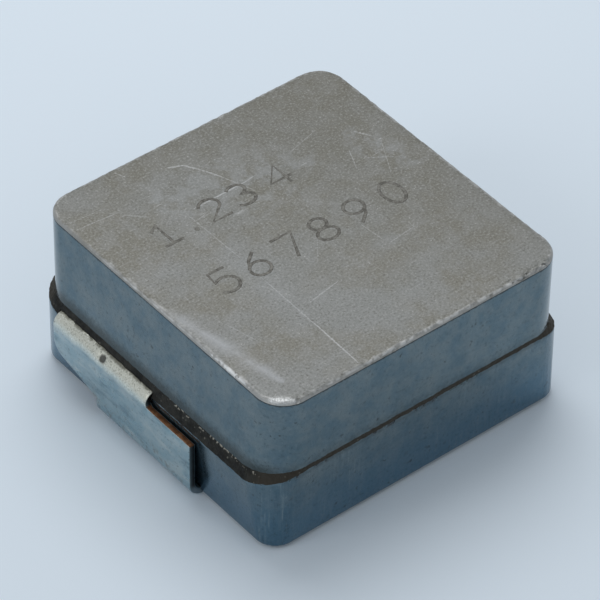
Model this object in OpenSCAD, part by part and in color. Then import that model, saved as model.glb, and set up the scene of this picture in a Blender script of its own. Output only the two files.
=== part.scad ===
// Moulded power inductor, surface mount.
// A block of pressed iron-powder composite holds a coil of flat enamelled copper wire.
// Each end of the coil is welded to the tab of a folded, tinned copper terminal.
// Frame: millimetres, +Z up. The origin is the centre of the footprint, on the
// plane of the two solder feet. The terminals are on the -X and +X sides.

/* [Moulded body] */
// Height of the top face above the solder plane
body_top = 6.5; // [6.2:0.05:9]
// Height of the underside above the solder plane
standoff = 0.12; // [0.04:0.01:0.2]
// Width of the top face between the two terminal sides
top_x = 12.28; // [12:0.02:12.6]
// Width of the top face between the two plain sides
top_y = 12.8; // [12.4:0.05:13.4]
// Widening of the upper half from the top face to the parting step, on a terminal side
upper_draft_x = 0.22; // [0.05:0.01:0.26]
// Widening of the upper half from the top face to the parting step, on a plain side
upper_draft_y = 0.01; // [0:0.01:0.1]
// Width of the parting step on a terminal side
step_x = 0.17; // [0.05:0.01:0.24]
// Width of the parting step on a plain side
step_y = 0.02; // [0.01:0.01:0.1]
// Inward slope of the lower half from the step to the underside, on a terminal side
lower_draft_x = 0.2; // [0:0.01:0.3]
// Inward slope of the lower half from the step to the underside, on a plain side
lower_draft_y = 0.08; // [0:0.01:0.2]
// Height of the step's fall on a terminal side
step_fall_x = 0.43; // [0.1:0.01:0.6]
// Height of the step's fall on a plain side
step_fall_y = 0.17; // [0.05:0.01:0.3]
// Height by which the step stands higher on the plain sides than above the tabs
step_rise = 0.22; // [0:0.01:0.4]
// Upright corner radius at the top face
top_corner = 1.1; // [0.6:0.05:2]
// Upright corner radius at the foot of the upper half
step_inner_corner = 1.55; // [0.8:0.05:2]
// Upright corner radius at the head of the lower half
step_outer_corner = 1.35; // [0.8:0.05:2]
// Upright corner radius at the underside
base_corner = 0.8; // [0.5:0.05:2]
// Rounding of the edge of the top face
top_edge = 0.12; // [0.05:0.01:0.3]
// Rounding of the edge of the underside
base_edge = 0.1; // [0.05:0.01:0.2]

/* [Terminals] */
// Thickness of the terminal strip
strip = 0.25; // [0.15:0.01:0.3]
// Height of the tab's upper face above the solder plane
tab_top = 2.93; // [2.8:0.01:3.1]
// Height of the foot of the upper half above the tab, on a terminal side
ledge = 0.25; // [0.15:0.01:0.35]
// Gap between a lug and the outer edge of the parting step
lug_gap = 0.02; // [0.01:0.01:0.2]
// Near edge of the tab, measured along the terminal side
tab_near = -0.17; // [-0.6:0.01:0.4]
// Width of the tab along the terminal side
tab_width = 5.12; // [4.6:0.02:5.2]
// Length of the tab inside the body
tab_hold = 1.36; // [1:0.02:1.5]
// Outer bend radius where the tab turns down
upper_bend = 0.45; // [0.32:0.01:0.6]
// Outer bend radius where the lug turns under the body
lower_bend = 0.6; // [0.35:0.01:0.7]
// Width of the lug and its solder foot
foot_width = 5.16; // [4.6:0.02:5.6]
// Length of the solder foot from the terminal's outer face
foot_length = 2.35; // [1.6:0.05:3]
// Height of the lug's shoulder above the solder plane
shoulder = 2.42; // [2:0.01:2.5]
// Height at which the slanting edge leaves the tab's far edge
slant_top = 1.45; // [1.1:0.01:1.9]
// Height at which the slanting edge meets the lug's far edge
slant_foot = 0.82; // [0.7:0.01:1]
// Fillet between the tab and the shoulder
shoulder_fillet = 0.22; // [0.05:0.01:0.4]
// Rounding of the tab's far lower corner
slant_round = 0.6; // [0.2:0.05:0.8]

/* [Coil] */
// Number of whole turns
turns = 5; // [3:1:5]
// Mean radius of a turn
coil_radius = 3.5; // [3.2:0.05:3.55]
// Width of the flat wire, across a turn
wire_width = 2; // [1.2:0.05:2]
// Thickness of the flat wire, along the coil's axis
wire_thick = 0.55; // [0.3:0.01:0.56]
// Enamel and binder between two turns
turn_gap = 0.05; // [0.02:0.01:0.06]
// Chamfer of the flat wire's edges
wire_chamfer = 0.08; // [0.02:0.01:0.12]
// Length of the wire that lies on a tab
weld_length = 0.85; // [0.6:0.05:0.9]
// Length in which a tail steps up or down to its tab
joggle = 1.1; // [1:0.05:1.15]
// Bend radius of a tail, at the middle of its thickness
tail_bend = 0.42; // [0.36:0.01:0.44]

/* [Fit] */
// Gap left in the moulding round the coil and the terminals
mould_gap = 0.03; // [0.01:0.01:0.05]
// Gap between a tail and the tab that it is welded to
weld_gap = 0.02; // [0.01:0.01:0.04]

/* [Hidden] */
arc_steps = 10;       // chords in each quarter of an upright corner
edge_steps = 4;       // chords in a rounded horizontal edge
turn_steps = 40;      // wire sections in one turn
bend_steps = 5;       // chords in each bend of a tail
past = 1;             // how far a cutting tool runs past the face it cuts

// Half widths of the body at its four outlines
top_half = [top_x / 2, top_y / 2];
inner_half = top_half + [upper_draft_x, upper_draft_y];
outer_half = inner_half + [step_x, step_y];
base_half = outer_half - [lower_draft_x, lower_draft_y];

// Heights of the step's inner edge, above the tabs and on the plain sides
inner_z = [tab_top + ledge, tab_top + ledge + step_rise];
outer_z = inner_z - [step_fall_x, step_fall_y];

// Terminal profile, worked out from the step's outer edge, which the lug clears
tab_mid = tab_top - strip / 2;
strip_inner = outer_half[0] + lug_gap;
terminal_reach = strip_inner + strip;
tab_end = inner_half[0] - tab_hold;
tab_far = tab_near + tab_width;

// Coil heights: the stack is centred on the tabs
pitch = wire_thick + turn_gap;
coil_low = tab_mid - turns * pitch / 2;
coil_inner = coil_radius - wire_width / 2;
coil_outer = coil_radius + wire_width / 2;
weld_offset = (strip + wire_thick) / 2 + weld_gap;
tail_end = tab_end + weld_length;
joggle_start = tab_end - joggle;
climb = pitch / (2 * PI * coil_radius);   // rise of the helix per millimetre of wire

// --- outlines of the body -------------------------------------------------

// Closed outline of a rounded rectangle. height is [above the terminal sides,
// above the plain sides]; it changes evenly round each corner.
function outline(half, radius, height) = [
    for (corner = [0:3], i = [0:arc_steps])
        let (turned = 90 * corner + 90 * i / arc_steps,
             sx = corner == 0 || corner == 3 ? 1 : -1,
             sy = corner < 2 ? 1 : -1,
             share = corner % 2 == 0 ? i / arc_steps : 1 - i / arc_steps)
        [sx * (half[0] - radius) + radius * cos(turned),
         sy * (half[1] - radius) + radius * sin(turned),
         height[0] + (height[1] - height[0]) * share]
];

// Outlines that round an edge: inset and height follow a quarter circle
function top_round(i) =
    let (a = 90 * i / edge_steps, inset = top_edge * (1 - cos(a)))
    outline(top_half - [inset, inset], top_corner - inset,
            [1, 1] * (body_top - top_edge + top_edge * sin(a)));
function base_round(i) =
    let (a = 90 * i / edge_steps, inset = base_edge * (1 - sin(a)))
    outline(base_half - [inset, inset], base_corner - inset,
            [1, 1] * (standoff + base_edge * (1 - cos(a))));

// Closed skin over a stack of outlines with equal numbers of points. Facets are
// split along the other diagonal in every second stretch of so many points.
module skin(rings, stretch = 1e6) {
    n = len(rings[0]);
    count = len(rings);
    points = [for (ring = rings) for (p = ring) p];
    walls = [
        for (k = [0:count - 2], i = [0:n - 1])
            let (a = k * n + i, b = k * n + (i + 1) % n)
            each floor(i / stretch) % 2 == 0
                ? [[a, a + n, b], [a + n, b + n, b]]
                : [[a, b + n, b], [a, a + n, b + n]]
    ];
    bottom = [[for (i = [0:n - 1]) i]];
    top = [[for (i = [n - 1:-1:0]) (count - 1) * n + i]];
    polyhedron(points, concat(walls, bottom, top), convexity = 4);
}

// --- flat wire ------------------------------------------------------------

// Position along the wire: each entry is [centre, sideways vector, unit tangent]
function helix_station(i) =
    let (a = 90 + 360 * i / turn_steps, side = [cos(a), sin(a), 0])
    [side * coil_radius + [0, 0, coil_low + pitch * i / turn_steps],
     side,
     unit([-sin(a), cos(a), climb])];

function unit(v) = v / norm(v);

// A tail runs on at the helix's climb, then joggles to its tab by two equal bends
// with a straight slope between them.
// dir is 1 for the first tail, on the +X side, and -1 for the last, on the -X side.
function lead_z(dir, x) = tab_mid - dir * (turns * pitch / 2 + climb * x);
weld_rise = turns * pitch / 2 + climb * joggle_start - weld_offset;
centre_rise = weld_rise - 2 * tail_bend;
slope_lean = atan2(centre_rise, joggle) + asin(2 * tail_bend / norm([joggle, centre_rise]));

// Places along a tail, from the coil outwards: each is [x, z, lean of the tail]
function tail_places(dir) = [
    [0, lead_z(dir, 0), -dir * atan(climb)],
    for (i = [0:bend_steps])
        let (a = slope_lean * i / bend_steps)
        [joggle_start + tail_bend * sin(a),
         lead_z(dir, joggle_start) + dir * tail_bend * (1 - cos(a)), dir * a],
    for (i = [bend_steps:-1:0])
        let (a = slope_lean * i / bend_steps)
        [tab_end - tail_bend * sin(a),
         tab_mid - dir * weld_offset - dir * tail_bend * (1 - cos(a)), dir * a],
    [tail_end, tab_mid - dir * weld_offset, 0]
];

function tail_station(dir, place) =
    [[dir * place[0], coil_radius, place[1]],
     [0, 1, 0],
     [-cos(place[2]), 0, -dir * sin(place[2])]];

function tail(dir) = [
    for (i = [1:len(tail_places(dir)) - 1]) tail_station(dir, tail_places(dir)[i])
];

function reversed(list) = [for (i = [len(list) - 1:-1:0]) list[i]];

function helix() = [for (i = [0:turns * turn_steps]) helix_station(i)];

// Section of the wire at a station, with its chamfered edges
function section(station) =
    let (w = wire_width / 2, t = wire_thick / 2, c = wire_chamfer,
         side = station[1], up = cross(station[2], -station[1]))
    [for (p = [[w, c - t], [w, t - c], [w - c, t], [c - w, t],
               [-w, t - c], [-w, c - t], [c - w, -t], [w - c, -t]])
        station[0] + side * p[0] + up * p[1]];

module wire(stations) {
    skin([for (s = stations) section(s)]);
}

// --- folded strip ---------------------------------------------------------

// Quarter ring about a bend's centre, from the outer face inwards
module bend(centre, outer, inner, up, g) {
    intersection() {
        translate(centre) difference() {
            circle(r = outer + g, $fn = 64);
            circle(r = inner - g, $fn = 48);
        }
        translate(centre + [0, up ? 0 : -outer - past])
            square([outer + past, outer + past]);
    }
}

// Side view of the folded strip, X outwards and Y up, grown by g on each side
module strip_profile(g = 0) {
    top_centre = [terminal_reach - upper_bend, tab_top - upper_bend];
    low_centre = [terminal_reach - lower_bend, lower_bend];
    translate([tab_end - g, tab_top - strip - g])
        square([top_centre[0] - tab_end + g, strip + 2 * g]);
    bend(top_centre, upper_bend, upper_bend - strip, true, g);
    translate([strip_inner - g, low_centre[1]])
        square([strip + 2 * g, top_centre[1] - low_centre[1]]);
    bend(low_centre, lower_bend, lower_bend - strip, false, g);
    translate([terminal_reach - foot_length - g, -g])
        square([foot_length - lower_bend + g, strip + 2 * g]);
}

// Face view of the terminal, X along the terminal side and Y up
module face_outline() {
    half = foot_width / 2;
    difference() {
        union() {
            // tab, down to the slanting edge
            translate([tab_near, slant_top])
                square([tab_width, tab_top + past - slant_top]);
            // lug and foot
            translate([-half, -past])
                square([foot_width, shoulder + past]);
            // slanting edge between them
            polygon([[tab_near, slant_foot], [half, slant_foot],
                     [tab_far, slant_top], [tab_near, slant_top]]);
            // fillet's material in the inner corner above the shoulder
            translate([tab_near - shoulder_fillet, shoulder])
                square(shoulder_fillet);
        }
        translate([tab_near - shoulder_fillet, shoulder + shoulder_fillet])
            circle(r = shoulder_fillet, $fn = 32);
        far_corner_waste();
    }
}

// What is cut away to round the tab's far lower corner
module far_corner_waste() {
    lean = atan2(slant_top - slant_foot, tab_far - foot_width / 2);
    reach = slant_round * tan((90 - lean) / 2);
    centre = [tab_far - slant_round, slant_top + reach];
    difference() {
        polygon([[tab_far + past, slant_top - past], [tab_far + past, centre[1]],
                 centre, centre + slant_round * [sin(lean), -cos(lean)],
                 [tab_far, slant_top - past]]);
        translate(centre) circle(r = slant_round, $fn = 64);
    }
}

// Solid of the strip profile over a stretch of the terminal side
module folded(near, width, g = 0) {
    translate([0, near + width, 0]) rotate([90, 0, 0])
        linear_extrude(width) strip_profile(g);
}

module terminal() {
    intersection() {
        folded(-foot_width / 2 - past, tab_far + foot_width / 2 + 2 * past);
        translate([tab_end - past, 0, 0]) rotate([90, 0, 90])
            linear_extrude(terminal_reach - tab_end + 2 * past) face_outline();
        // the foot has the lug's width only
        union() {
            translate([tab_end - past, tab_near, lower_bend])
                cube([terminal_reach - tab_end + 2 * past, tab_width, tab_top]);
            translate([terminal_reach - foot_length - past, -foot_width / 2, -past])
                cube([foot_length + 2 * past, foot_width, shoulder + shoulder_fillet + past]);
        }
    }
}

// Space of the strip over one stretch of the terminal side, between two heights
module strip_seat(near, width, low, high) {
    intersection() {
        folded(near - mould_gap, width + 2 * mould_gap, mould_gap);
        translate([0, near - past, low])
            cube([terminal_reach + past, width + 2 * past, high - low]);
    }
}

// Space that a terminal takes in the moulding: its tab, then its foot
module terminal_seat() {
    strip_seat(tab_near, tab_width, slant_top, tab_top + past);
    strip_seat(-foot_width / 2, foot_width, -past, lower_bend + strip);
}

// --- pieces ---------------------------------------------------------------

// Pressed powder block, with the space of the coil, its tails and the tabs
module moulded_body() {
    color("dimgray") difference() {
        skin([
            for (i = [0:edge_steps]) base_round(i),
            outline(outer_half, step_outer_corner, outer_z),
            outline(inner_half, step_inner_corner, inner_z),
            for (i = [0:edge_steps]) top_round(i)
        ], arc_steps + 1);
        coil_seat();
        for (side = [0, 1]) mirror([side, 0, 0]) terminal_seat();
    }
}

// Ring round the turns, and a channel round each tail. The ring is the looser of
// the two, so that a channel starts inside it.
module coil_seat() {
    looser = 2 * mould_gap;
    half_stack = turns * pitch / 2 + wire_thick / 2 + climb * joggle_start + looser;
    translate([0, 0, tab_mid - half_stack]) difference() {
        cylinder(r = coil_outer + looser, h = 2 * half_stack, $fn = 96);
        translate([0, 0, -past])
            cylinder(r = coil_inner - looser, h = 2 * (half_stack + past), $fn = 96);
    }
    for (dir = [1, -1])
        translate([0, coil_outer + mould_gap, 0]) rotate([90, 0, 0])
            linear_extrude(wire_width + 2 * mould_gap) tail_channel(dir);
}

// Side view of the channel that a tail lies in
module tail_channel(dir) {
    places = tail_places(dir);
    final = places[len(places) - 1];
    whole = concat(places, [final + [mould_gap, 0, 0]]);
    grown = wire_thick / 2 + mould_gap;
    polygon(concat([for (place = whole) tail_edge(dir, place, grown)],
                   [for (place = reversed(whole)) tail_edge(dir, place, -grown)]));
}

// Point of a tail's side view, at a distance above its middle line
function tail_edge(dir, place, above) =
    [dir * (place[0] - above * sin(place[2])), place[1] + above * cos(place[2])];

// Flat wire wound on edge, with both tails on the +Y side
module coil_winding() {
    color("sienna") wire(concat(reversed(tail(1)), helix(), tail(-1)));
}

module terminal_left() {
    color("silver") mirror([1, 0, 0]) terminal();
}

module terminal_right() {
    color("silver") terminal();
}

moulded_body();
coil_winding();
terminal_left();
terminal_right();
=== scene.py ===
import math

import bpy
import bmesh
from mathutils import Matrix, Vector, noise


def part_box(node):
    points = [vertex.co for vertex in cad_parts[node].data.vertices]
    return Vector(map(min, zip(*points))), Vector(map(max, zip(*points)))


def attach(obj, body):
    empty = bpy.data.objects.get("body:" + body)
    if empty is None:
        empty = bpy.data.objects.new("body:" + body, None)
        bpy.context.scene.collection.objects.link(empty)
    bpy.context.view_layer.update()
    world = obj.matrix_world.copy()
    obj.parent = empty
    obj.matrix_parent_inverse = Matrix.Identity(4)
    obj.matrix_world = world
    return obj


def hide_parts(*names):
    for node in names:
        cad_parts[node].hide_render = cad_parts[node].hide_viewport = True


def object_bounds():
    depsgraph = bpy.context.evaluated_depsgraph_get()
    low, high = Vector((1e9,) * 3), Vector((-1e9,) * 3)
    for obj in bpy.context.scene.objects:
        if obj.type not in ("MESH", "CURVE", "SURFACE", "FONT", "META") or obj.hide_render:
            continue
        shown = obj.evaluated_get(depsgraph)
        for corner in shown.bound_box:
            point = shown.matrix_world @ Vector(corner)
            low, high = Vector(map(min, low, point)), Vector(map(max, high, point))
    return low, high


# Looks of a moulded power inductor: a block of pressed iron powder with die-rubbed
# sides, and two folded, tinned copper terminals.
# Lengths are written in millimetres and turned into metres by MM. The two terminal
# sides are -X (left) and +X (right); the sides on -Y and +Y are plain.
MM = 0.001

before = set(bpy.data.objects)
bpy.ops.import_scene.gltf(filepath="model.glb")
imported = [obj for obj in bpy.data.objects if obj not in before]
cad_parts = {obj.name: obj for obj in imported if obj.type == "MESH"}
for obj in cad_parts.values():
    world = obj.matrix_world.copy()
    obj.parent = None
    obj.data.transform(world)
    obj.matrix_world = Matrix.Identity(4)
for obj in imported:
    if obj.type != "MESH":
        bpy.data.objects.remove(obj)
cad_low, cad_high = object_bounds()
body_low, body_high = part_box("moulded_body")
root = "root"


# --- camera, floor and light ------------------------------------------------

def direction(azimuth, elevation):
    """Unit vector from the object to a viewer; azimuth 0 stands on the -Y side."""
    a, e = math.radians(azimuth), math.radians(elevation)
    return Vector((math.sin(a) * math.cos(e), -math.cos(a) * math.cos(e), math.sin(e)))


def aimed(location, target, roll=0.0):
    """Matrix of something that looks from location to target."""
    turn = (Vector(target) - Vector(location)).to_track_quat("-Z", "Y").to_matrix()
    return Matrix.Translation(location) @ (turn @ Matrix.Rotation(math.radians(roll), 3, "Z")).to_4x4()


def make_camera():
    """Long lens at one corner, looking down on the top face and the left terminal."""
    target = Vector((0.04, 0.1, 3.2)) * MM
    distance, azimuth, elevation, roll = 146.3 * MM, -39.3, 42.5, 0.7
    data = bpy.data.cameras.new("camera")
    data.sensor_width = 36
    data.lens = 259
    data.clip_start = 0.01
    data.clip_end = 10
    camera = bpy.data.objects.new("camera", data)
    bpy.context.scene.collection.objects.link(camera)
    camera.matrix_world = aimed(target + direction(azimuth, elevation) * distance, target, roll)
    bpy.context.scene.camera = camera


def area_light(name, azimuth, elevation, distance, size, power):
    """Round softbox aimed at the object; distance and size in millimetres, power in watts."""
    data = bpy.data.lights.new(name, "AREA")
    data.shape = "DISK"
    data.size = size * MM
    data.energy = power
    lamp = bpy.data.objects.new(name, data)
    bpy.context.scene.collection.objects.link(lamp)
    lamp.matrix_world = aimed(direction(azimuth, elevation) * distance * MM, (0, 0, 0))


def make_light():
    """Pale surroundings, a large softbox above the back and a small one at the left."""
    world = bpy.data.worlds.new("studio")
    bpy.context.scene.world = world
    world.use_nodes = True
    back = world.node_tree.nodes["Background"]
    back.inputs["Color"].default_value = (0.93, 0.97, 1.0, 1)
    back.inputs["Strength"].default_value = 0.45
    area_light("softbox_top", 150, 62, 120, 90, 0.054)
    area_light("softbox_left", -95, 38, 130, 60, 0.016)


def make_floor():
    """Plain pale floor, a hair below the feet."""
    deselect()
    bpy.ops.mesh.primitive_plane_add(size=600 * MM, location=(0, 0, -0.01 * MM))
    floor = bpy.context.object
    floor.name = "floor"
    material = bpy.data.materials.new("floor_paper")
    material.use_nodes = True
    shader = material.node_tree.nodes["Principled BSDF"]
    shader.inputs["Base Color"].default_value = (0.8, 0.89, 0.98, 1)
    shader.inputs["Roughness"].default_value = 0.9
    shader.inputs["Specular IOR Level"].default_value = 0.1
    floor.data.materials.append(material)


# --- shader helpers -----------------------------------------------------------

def wire(tree, value, socket):
    """Links a socket to an input, or sets the input to a plain value."""
    if isinstance(value, bpy.types.NodeSocket):
        tree.links.new(value, socket)
    else:
        socket.default_value = value


def add(tree, kind, *values, **settings):
    """Adds a node, sets its properties, and wires its inputs in order."""
    node = tree.nodes.new(kind)
    for name, value in settings.items():
        setattr(node, name, value)
    for socket, value in zip(node.inputs, values):
        if value is not None:
            wire(tree, value, socket)
    return node


def maths(tree, operation, *values, clamp=False):
    return add(tree, "ShaderNodeMath", *values, operation=operation, use_clamp=clamp).outputs[0]


def times(tree, first, second):
    return maths(tree, "MULTIPLY", first, second)


def plus(tree, first, second):
    return maths(tree, "ADD", first, second)


def most(tree, first, second):
    return maths(tree, "MAXIMUM", first, second)


def ramp(tree, value, low, high, to_low=0.0, to_high=1.0):
    """Smooth step of value from low to high."""
    node = add(tree, "ShaderNodeMapRange", value, low, high, to_low, to_high,
               interpolation_type="SMOOTHSTEP")
    return node.outputs[0]


def mix(tree, share, first, second, blend="MIX"):
    node = tree.nodes.new("ShaderNodeMix")
    node.data_type = "RGBA"
    node.blend_type = blend
    wire(tree, share, node.inputs["Factor"])
    wire(tree, first, node.inputs[6])
    wire(tree, second, node.inputs[7])
    return node.outputs[2]


def colour(r, g, b):
    return (r, g, b, 1.0)


def noise_value(tree, vector, scale, detail=3.0, roughness=0.55):
    node = tree.nodes.new("ShaderNodeTexNoise")
    wire(tree, vector, node.inputs["Vector"])
    wire(tree, scale, node.inputs["Scale"])
    node.inputs["Detail"].default_value = detail
    node.inputs["Roughness"].default_value = roughness
    return node.outputs["Fac"]


def stretched(tree, vector, turn, stretch):
    """Vector turned about Z by degrees, then scaled by stretch."""
    node = add(tree, "ShaderNodeMapping", vector)
    node.inputs["Rotation"].default_value = (0, 0, math.radians(turn))
    node.inputs["Scale"].default_value = stretch
    return node.outputs[0]


def new_group(name, inputs, outputs):
    """Empty node group. inputs: name to default, with a 3-tuple for a vector."""
    tree = bpy.data.node_groups.new(name, "ShaderNodeTree")
    for label, default in inputs.items():
        kind = "NodeSocketVector" if isinstance(default, tuple) else "NodeSocketFloat"
        socket = tree.interface.new_socket(label, in_out="INPUT", socket_type=kind)
        socket.default_value = default
    for label in outputs:
        tree.interface.new_socket(label, in_out="OUTPUT", socket_type="NodeSocketFloat")
    source = tree.nodes.new("NodeGroupInput")
    sink = tree.nodes.new("NodeGroupOutput")
    return tree, source.outputs, sink.inputs


def use(tree, group, **values):
    """Places a node group; underscores in a name stand for spaces."""
    node = tree.nodes.new("ShaderNodeGroup")
    node.node_tree = group
    for name, value in values.items():
        wire(tree, value, node.inputs[name.replace("_", " ")])
    return node.outputs


def new_material(name):
    """Material with an empty Principled shader and millimetre Object coordinates."""
    material = bpy.data.materials.new(name)
    material.use_nodes = True
    tree = material.node_tree
    shader = tree.nodes["Principled BSDF"]
    place = tree.nodes.new("ShaderNodeTexCoord").outputs["Object"]
    node = add(tree, "ShaderNodeVectorMath", place, operation="SCALE")
    node.inputs["Scale"].default_value = 1 / MM
    return material, tree, shader, node.outputs[0]


def bump(tree, shader, height, strength, distance):
    node = tree.nodes.new("ShaderNodeBump")
    node.inputs["Strength"].default_value = strength
    node.inputs["Distance"].default_value = distance * MM
    tree.links.new(height, node.inputs["Height"])
    tree.links.new(node.outputs["Normal"], shader.inputs["Normal"])


# --- shared effects -----------------------------------------------------------

def make_rim_group():
    """Distance inwards from a rounded rectangle's outline, seen from above."""
    tree, given, out = new_group(
        "rim_distance", {"Place": (0.0, 0.0, 0.0), "Half X": 6.1, "Half Y": 6.4, "Corner": 1.1}, ["Inside"])
    parts = add(tree, "ShaderNodeSeparateXYZ", given["Place"]).outputs
    reach = []
    for axis, half in (("X", "Half X"), ("Y", "Half Y")):
        side = maths(tree, "SUBTRACT", maths(tree, "ABSOLUTE", parts[axis]), given[half])
        reach.append(plus(tree, side, given["Corner"]))
    beyond = [most(tree, r, 0.0) for r in reach]
    squares = [times(tree, b, b) for b in beyond]
    outer = maths(tree, "SQRT", plus(tree, *squares))
    inner = maths(tree, "MINIMUM", most(tree, *reach), 0.0)
    signed = maths(tree, "SUBTRACT", plus(tree, outer, inner), given["Corner"])
    wire(tree, times(tree, signed, -1.0), out["Inside"])
    return tree


def make_stroke_group():
    """Mask of a straight scratch between two points on a flat face."""
    tree, given, out = new_group(
        "stroke", {"Place": (0.0, 0.0, 0.0), "From": (0.0, 0.0, 0.0), "To": (1.0, 0.0, 0.0), "Width": 0.03,
                   "Soft": 0.35}, ["Mask"])
    span = add(tree, "ShaderNodeVectorMath", given["To"], given["From"], operation="SUBTRACT").outputs[0]
    away = add(tree, "ShaderNodeVectorMath", given["Place"], given["From"], operation="SUBTRACT").outputs[0]
    along = add(tree, "ShaderNodeVectorMath", away, span, operation="DOT_PRODUCT").outputs["Value"]
    whole = add(tree, "ShaderNodeVectorMath", span, span, operation="DOT_PRODUCT").outputs["Value"]
    share = maths(tree, "DIVIDE", along, whole, clamp=True)
    step = add(tree, "ShaderNodeVectorMath", span, operation="SCALE")
    wire(tree, share, step.inputs["Scale"])
    gap = add(tree, "ShaderNodeVectorMath", away, step.outputs[0], operation="DISTANCE").outputs["Value"]
    # thinner towards both ends
    middle = times(tree, times(tree, share, maths(tree, "SUBTRACT", 1.0, share)), 4.0)
    width = times(tree, given["Width"], plus(tree, maths(tree, "SQRT", middle), 0.15))
    side = maths(tree, "DIVIDE", gap, width)
    solid = maths(tree, "SUBTRACT", 0.6, given["Soft"])
    wire(tree, ramp(tree, side, 0.6, solid), out["Mask"])
    return tree


def make_hairline_group():
    """Mask of many fine scratches that run about one way, broken up in patches."""
    tree, given, out = new_group(
        "hairlines", {"Place": (0.0, 0.0, 0.0), "Scale": 2.0, "Thin": 0.02, "Cover": 0.5}, ["Mask"])
    bent = add(tree, "ShaderNodeTexNoise", given["Place"])
    bent.inputs["Scale"].default_value = 0.35
    push = add(tree, "ShaderNodeVectorMath", bent.outputs["Color"], operation="SCALE")
    push.inputs["Scale"].default_value = 0.6
    moved = add(tree, "ShaderNodeVectorMath", given["Place"], push.outputs[0], operation="ADD").outputs[0]
    lines = noise_value(tree, moved, given["Scale"], 1.0)
    near = maths(tree, "ABSOLUTE", maths(tree, "SUBTRACT", lines, 0.5))
    thin = add(tree, "ShaderNodeMapRange", near, 0.0, given["Thin"], 1.0, 0.0).outputs[0]
    shifted = add(tree, "ShaderNodeVectorMath", given["Place"], (7.3, 2.9, 5.1), operation="ADD").outputs[0]
    patch = noise_value(tree, shifted, times(tree, given["Scale"], 0.8), 2.0)
    cover = maths(tree, "SUBTRACT", 1.0, given["Cover"])
    kept = add(tree, "ShaderNodeMapRange", patch, cover, plus(tree, cover, 0.12), 0.0, 1.0).outputs[0]
    wire(tree, times(tree, thin, kept), out["Mask"])
    return tree


def make_grain_group():
    """Powder grain: a height, a mask of dark pores and a mask of bright grains."""
    tree, given, out = new_group(
        "powder_grain", {"Place": (0.0, 0.0, 0.0), "Size": 0.1}, ["Height", "Pores", "Sparkle"])
    scale = maths(tree, "DIVIDE", 1.0, given["Size"])
    fine = noise_value(tree, given["Place"], scale, 3.0, 0.65)
    coarse = noise_value(tree, given["Place"], times(tree, scale, 0.42), 2.0)
    wire(tree, plus(tree, times(tree, fine, 0.6), times(tree, coarse, 0.4)),
         out["Height"])
    wire(tree, ramp(tree, coarse, 0.36, 0.28), out["Pores"])
    cells = tree.nodes.new("ShaderNodeTexVoronoi")
    wire(tree, given["Place"], cells.inputs["Vector"])
    wire(tree, times(tree, scale, 0.9), cells.inputs["Scale"])
    pick = add(tree, "ShaderNodeSeparateColor", cells.outputs["Color"]).outputs[0]
    dot = ramp(tree, cells.outputs["Distance"], 0.42, 0.18)
    wire(tree, times(tree, dot, ramp(tree, pick, 0.9, 0.97)), out["Sparkle"])
    return tree


RIM = make_rim_group()
STROKE = make_stroke_group()
HAIRLINES = make_hairline_group()
GRAIN = make_grain_group()


# --- materials ------------------------------------------------------------------

def scratch(tree, place, start, end, width, softness=0.35, height=6.5):
    """Mask of one long scratch on the top face; start and end are (x, y)."""
    return use(tree, STROKE, Place=place, From=(*start, height), To=(*end, height), Width=width,
               Soft=softness)["Mask"]


# Long scratches on the top face: start, end, width and strength
SCRATCHES = (
    ((-2.55, -1.0), (-2.6, -4.2), 0.05, 0.3), ((-2.57, -3.7), (-2.64, -6.2), 0.055, 0.6),
    ((-2.55, 2.9), (-2.5, 0.1), 0.05, 0.25), ((-2.25, 3.04), (0.1, 3.06), 0.055, 0.6),
    ((-0.1, 3.05), (0.5, 3.12), 0.04, 0.4), ((-1.65, 5.27), (-1.1, 5.02), 0.07, 0.6),
    ((-1.12, 5.03), (-0.8, 4.5), 0.08, 0.5), ((-0.82, 4.55), (-0.45, 3.75), 0.07, 0.45),
    ((-0.5, 3.85), (0.0, 2.5), 0.05, 0.3), ((-2.05, -2.97), (-0.65, -2.74), 0.045, 0.4),
    ((-5.95, 4.62), (-4.2, 4.45), 0.06, 0.3), ((-5.9, 5.02), (-4.6, 4.92), 0.05, 0.22),
    ((1.9, -2.33), (3.1, -2.2), 0.045, 0.3), ((1.7, -1.0), (1.8, -2.1), 0.04, 0.25),
    ((4.55, 2.85), (4.9, 2.25), 0.06, 0.4), ((3.4, 1.25), (3.8, 2.15), 0.04, 0.35),
    ((4.0, 1.5), (4.9, 0.9), 0.04, 0.3), ((4.2, 0.4), (5.0, 1.9), 0.035, 0.25),
    ((-3.2, 6.2), (-3.02, 5.75), 0.045, 0.4), ((-4.3, 4.3), (-3.6, 3.6), 0.045, 0.25),
    ((-3.0, -1.0), (-2.2, -2.6), 0.04, 0.2), ((0.4, -0.3), (-0.6, -1.6), 0.04, 0.2),
    ((2.1, 3.3), (3.6, 3.7), 0.04, 0.25), ((-4.9, -2.0), (-4.5, -3.6), 0.04, 0.2),
)
# Broad, soft rubbed bands on the top face
BANDS = (
    ((-6.0, -0.3), (-5.6, -3.0), 0.7, 0.8), ((-5.75, -1.7), (-5.1, -5.4), 0.75, 1.0),
    ((-2.8, 5.2), (-2.6, -3.4), 1.1, 0.17), ((-1.9, 4.6), (2.8, 3.3), 1.7, 0.12),
    ((-0.4, 2.4), (1.8, 0.2), 0.7, 0.18), ((4.3, 2.8), (5.8, 0.2), 1.2, 0.16),
    ((-1.6, -3.1), (3.4, -2.2), 1.6, 0.12),
)


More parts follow.
